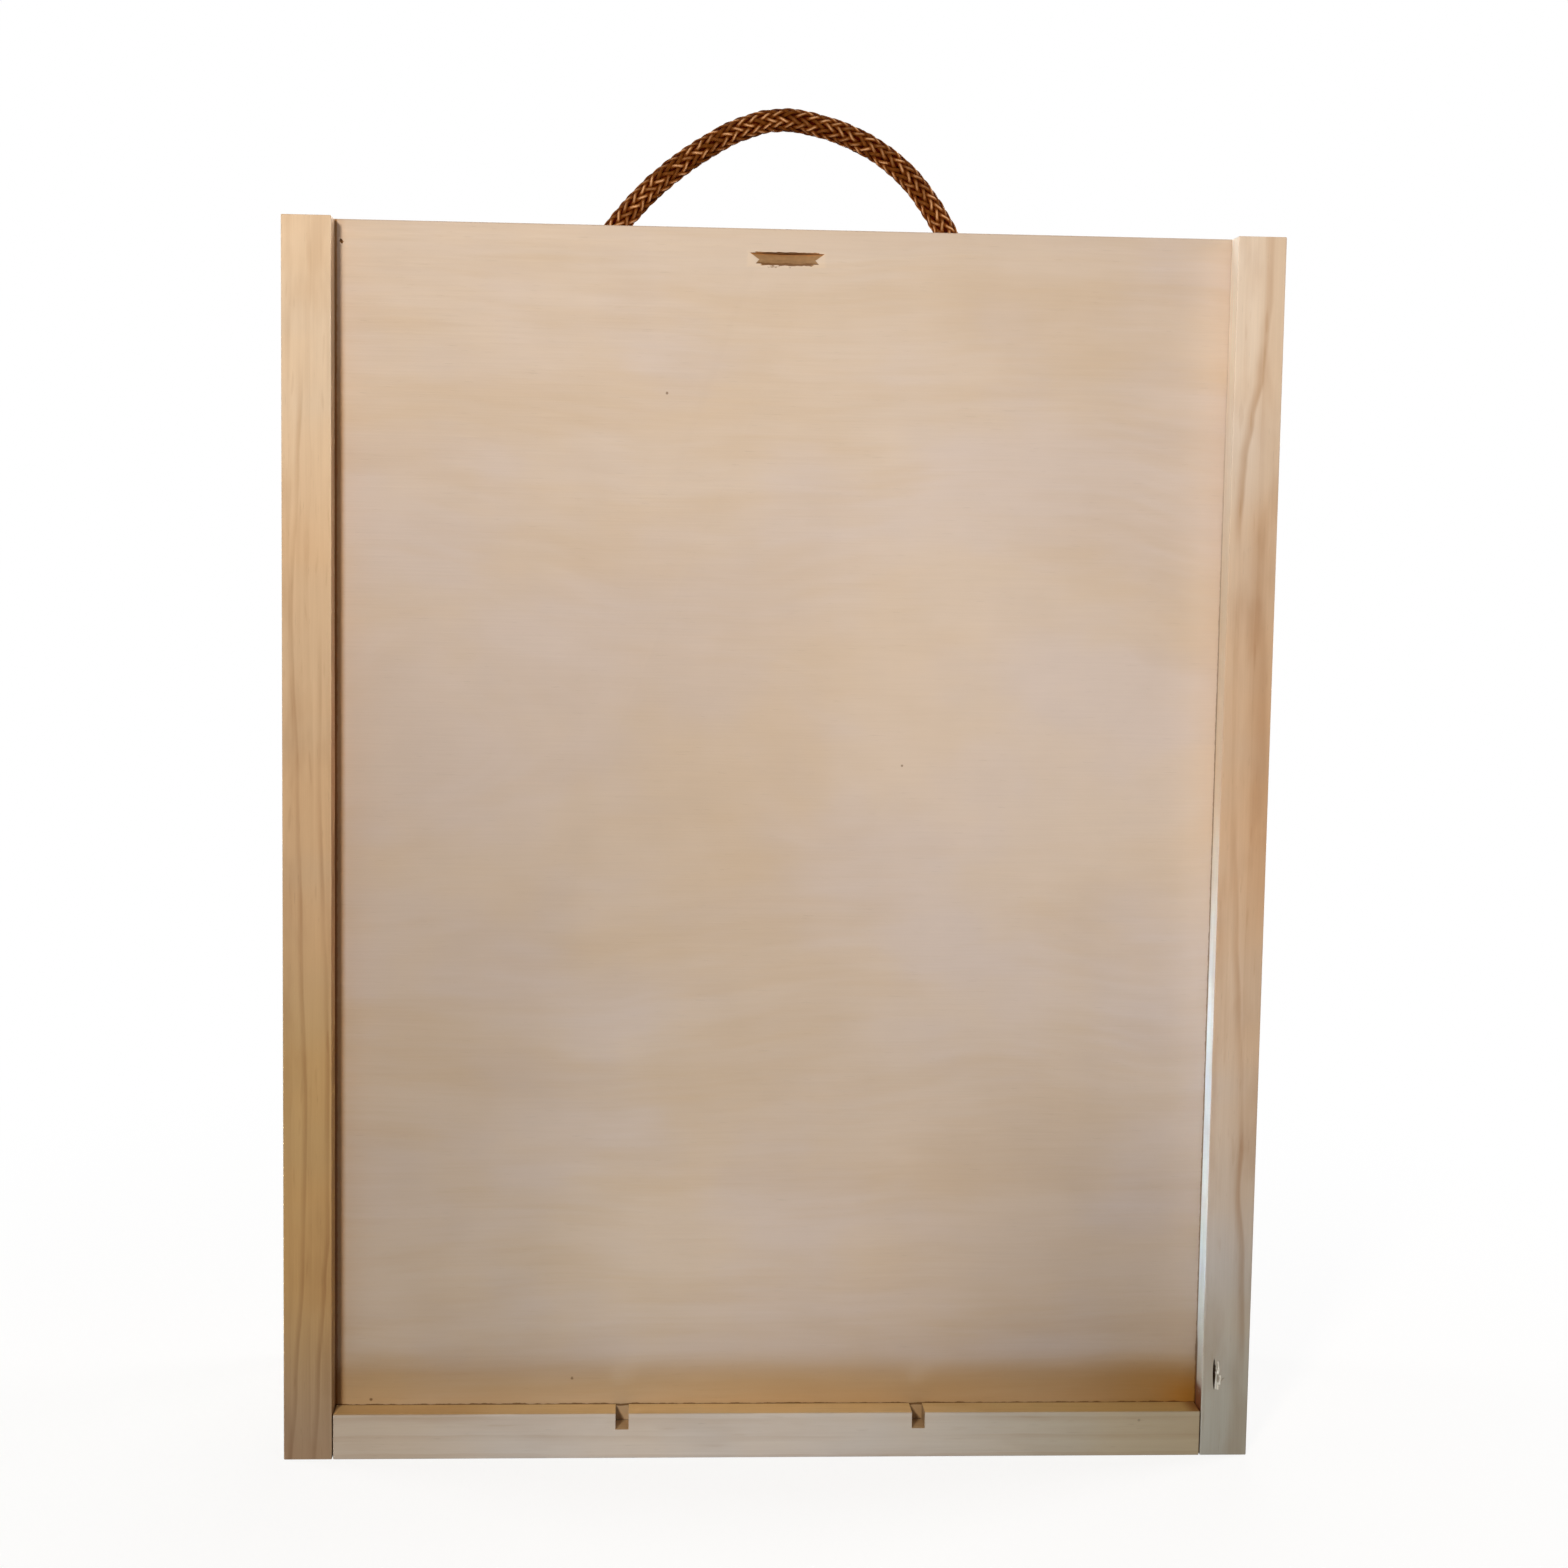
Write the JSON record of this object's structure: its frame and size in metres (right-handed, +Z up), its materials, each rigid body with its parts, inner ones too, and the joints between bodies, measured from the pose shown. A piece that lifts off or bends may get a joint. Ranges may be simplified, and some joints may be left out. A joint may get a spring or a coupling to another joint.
{
  "type": "bottle gift box",
  "caption": "Upright pine box for wine bottles with a lid that slides up in grooves, slatted compartments and a braided rope handle on top.",
  "frame": {"origin": "middle of the footprint, on the surface that the box stands on", "axes": "+Z up along the lid slide, +X along the width, -Y to the front where the lid is"},
  "size_m": [0.286, 0.1, 0.4006],
  "materials": {
    "pine_side": "bare planed pine, long grain upright",
    "pine_end": "bare planed pine, long grain across",
    "pine_lid": "bare sanded pine, faint grain across",
    "pine_back": "bare sanded pine panel",
    "pine_divider": "bare sawn pine slat",
    "rope": "round braid of glossy brown yarn",
    "nail_steel": "plain wire nail"
  },
  "bodies": {
    "box": {"back_brad_bottom_1": "nail_steel", "back_brad_bottom_2": "nail_steel", "back_brad_bottom_3": "nail_steel", "back_brad_left_1": "nail_steel", "back_brad_left_2": "nail_steel", "back_brad_left_3": "nail_steel", "back_brad_left_4": "nail_steel", "back_brad_right_1": "nail_steel", "back_brad_right_2": "nail_steel", "back_brad_right_3": "nail_steel", "back_brad_right_4": "nail_steel", "back_brad_top_1": "nail_steel", "back_brad_top_2": "nail_steel", "back_brad_top_3": "nail_steel", "back_panel": "pine_back", "bottom_end": "pine_end", "corner_nail_bottom_left_1": "nail_steel", "corner_nail_bottom_left_2": "nail_steel", "corner_nail_bottom_left_3": "nail_steel", "corner_nail_bottom_right_1": "nail_steel", "corner_nail_bottom_right_2": "nail_steel", "corner_nail_bottom_right_3": "nail_steel", "corner_nail_top_left_1": "nail_steel", "corner_nail_top_left_2": "nail_steel", "corner_nail_top_left_3": "nail_steel", "corner_nail_top_right_1": "nail_steel", "corner_nail_top_right_2": "nail_steel", "corner_nail_top_right_3": "nail_steel", "divider_left": "pine_divider", "divider_right": "pine_divider", "left_side": "pine_side", "right_side": "pine_side", "rope_knot_left": "rope", "rope_knot_right": "rope", "top_end": "pine_end"},
    "lid": {"sliding_lid": "pine_lid"},
    "handle": {"rope_handle": "rope"}
  },
  "joints": [
    {"name": "lid_slide", "type": "slide", "parent": "box", "child": "lid", "axis": [0, 0, 1], "range_m": [0, 0.35]},
    {"name": "handle_tilt", "type": "hinge", "parent": "box", "child": "handle", "pos_m": [0, 0, 0.363], "axis": [1, 0, 0], "range_deg": [-70, 70]}
  ]
}
